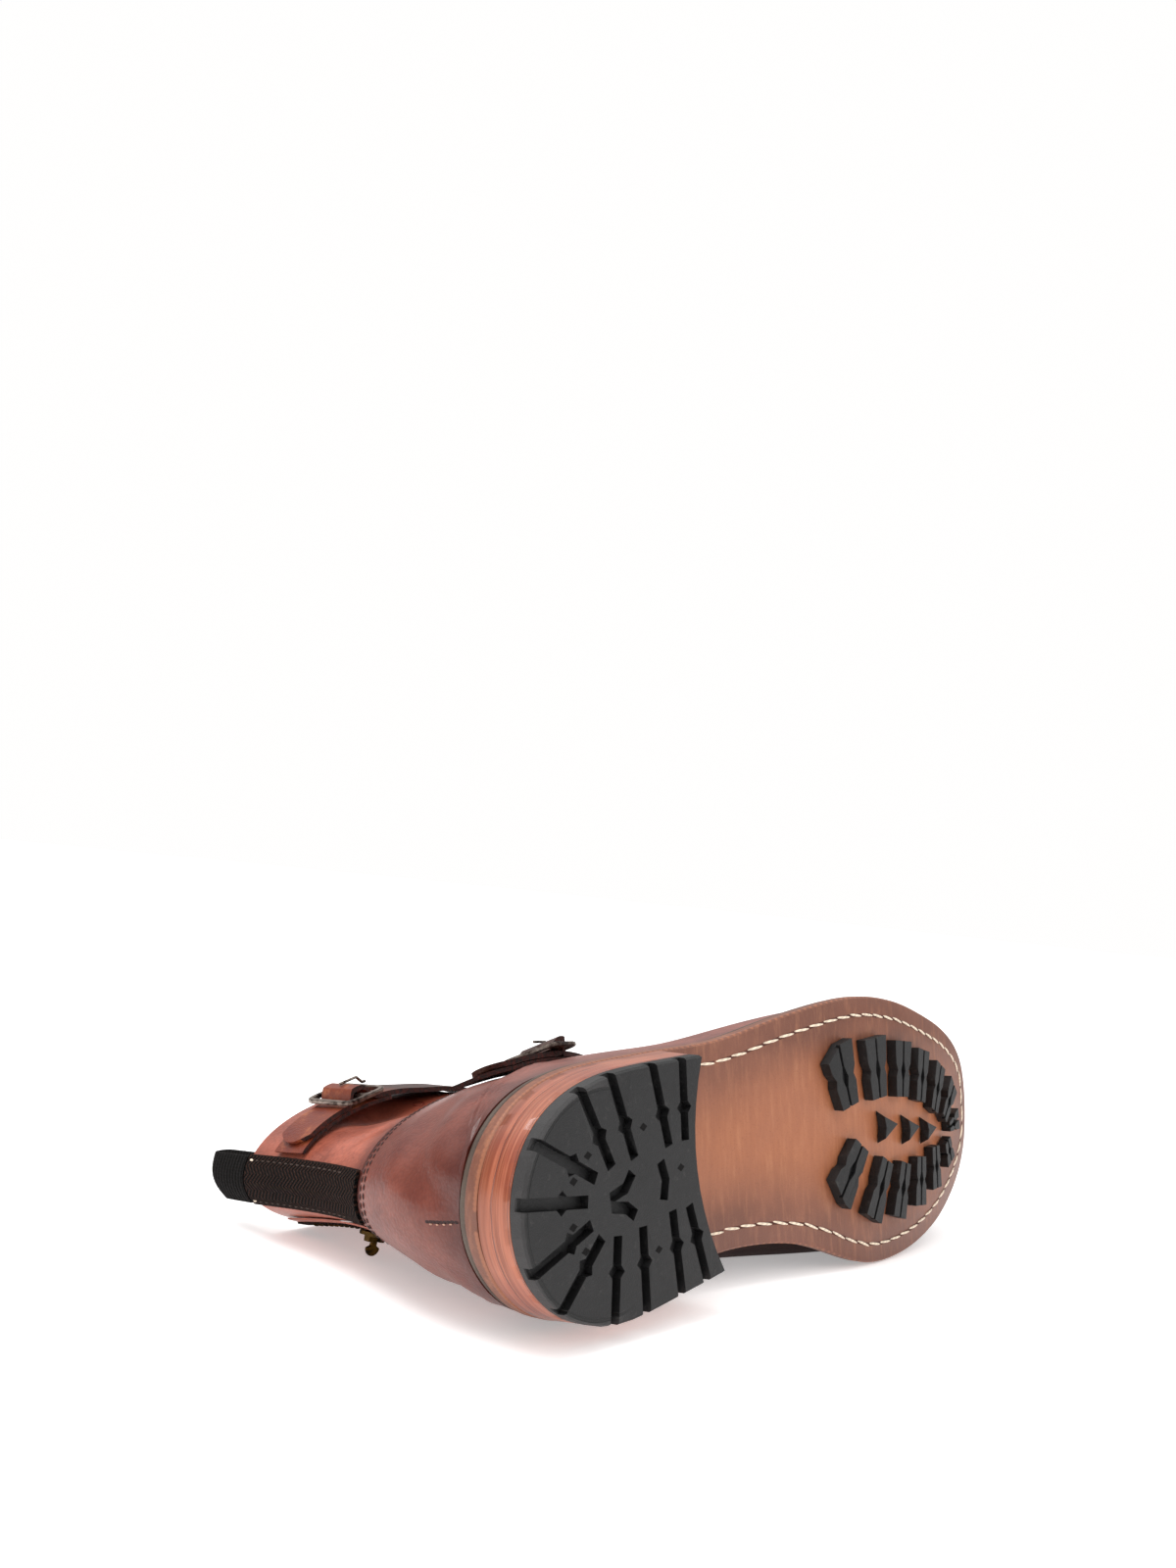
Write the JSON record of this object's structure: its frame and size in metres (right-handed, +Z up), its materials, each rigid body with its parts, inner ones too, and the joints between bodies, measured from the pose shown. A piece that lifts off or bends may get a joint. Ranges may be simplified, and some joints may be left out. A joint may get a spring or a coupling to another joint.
{
  "type": "biker boot",
  "caption": "Right leather biker boot lying on its inner side: lugged sole, stacked heel, hollow upper, buckled straps, back pull loop and inside zip.",
  "frame": {"origin": "on the floor under the middle of the boot as it lies", "axes": "+X to the toe, +Y from the sole to the collar, +Z up; the boot lies on its inner side, outer side up"},
  "size_m": [0.3008, 0.1704, 0.1024],
  "materials": {
    "burnished_leather": "glossy burnished grain",
    "strap_leather": "smooth, satin",
    "sole_leather": "smooth, burnished darker to the edge",
    "stacked_leather": "polished layers",
    "black_rubber": "matte",
    "grey_rand": "matte",
    "black_canvas": "woven, matte",
    "insole_board": "matte",
    "antique_pewter": "antique, worn edges",
    "antique_brass": "antique, dark"
  },
  "bodies": {
    "boot": {"ankle_buckle": "antique_pewter", "ankle_prong": "antique_pewter", "ankle_strap": "strap_leather", "ankle_strap_base": "strap_leather", "back_strip": "black_canvas", "collar_buckle": "antique_pewter", "collar_prong": "antique_pewter", "collar_strap": "strap_leather", "collar_strap_base": "strap_leather", "heel_lift": "black_rubber", "heel_stack": "stacked_leather", "insole": "insole_board", "lug_arrow_1": "black_rubber", "lug_arrow_2": "black_rubber", "lug_arrow_3": "black_rubber", "lug_lateral_1": "black_rubber", "lug_lateral_2": "black_rubber", "lug_lateral_3": "black_rubber", "lug_lateral_4": "black_rubber", "lug_lateral_5": "black_rubber", "lug_lateral_6": "black_rubber", "lug_medial_1": "black_rubber", "lug_medial_2": "black_rubber", "lug_medial_3": "black_rubber", "lug_medial_4": "black_rubber", "lug_medial_5": "black_rubber", "lug_medial_6": "black_rubber", "lug_toe": "black_rubber", "midsole": "grey_rand", "outsole": "sole_leather", "pull_loop": "black_canvas", "upper": "burnished_leather", "zip_slider": "antique_brass", "zip_tape": "black_canvas"},
    "pull_tab": {"zip_pull_tab": "antique_brass"}
  },
  "joints": [
    {"name": "pull_tab_hinge", "type": "hinge", "parent": "boot", "child": "pull_tab", "pos_m": [-0.12026, 0.0147, 0.00767], "axis": [0.9817, -0.02, -0.1893], "range_deg": [-65, 60]}
  ]
}
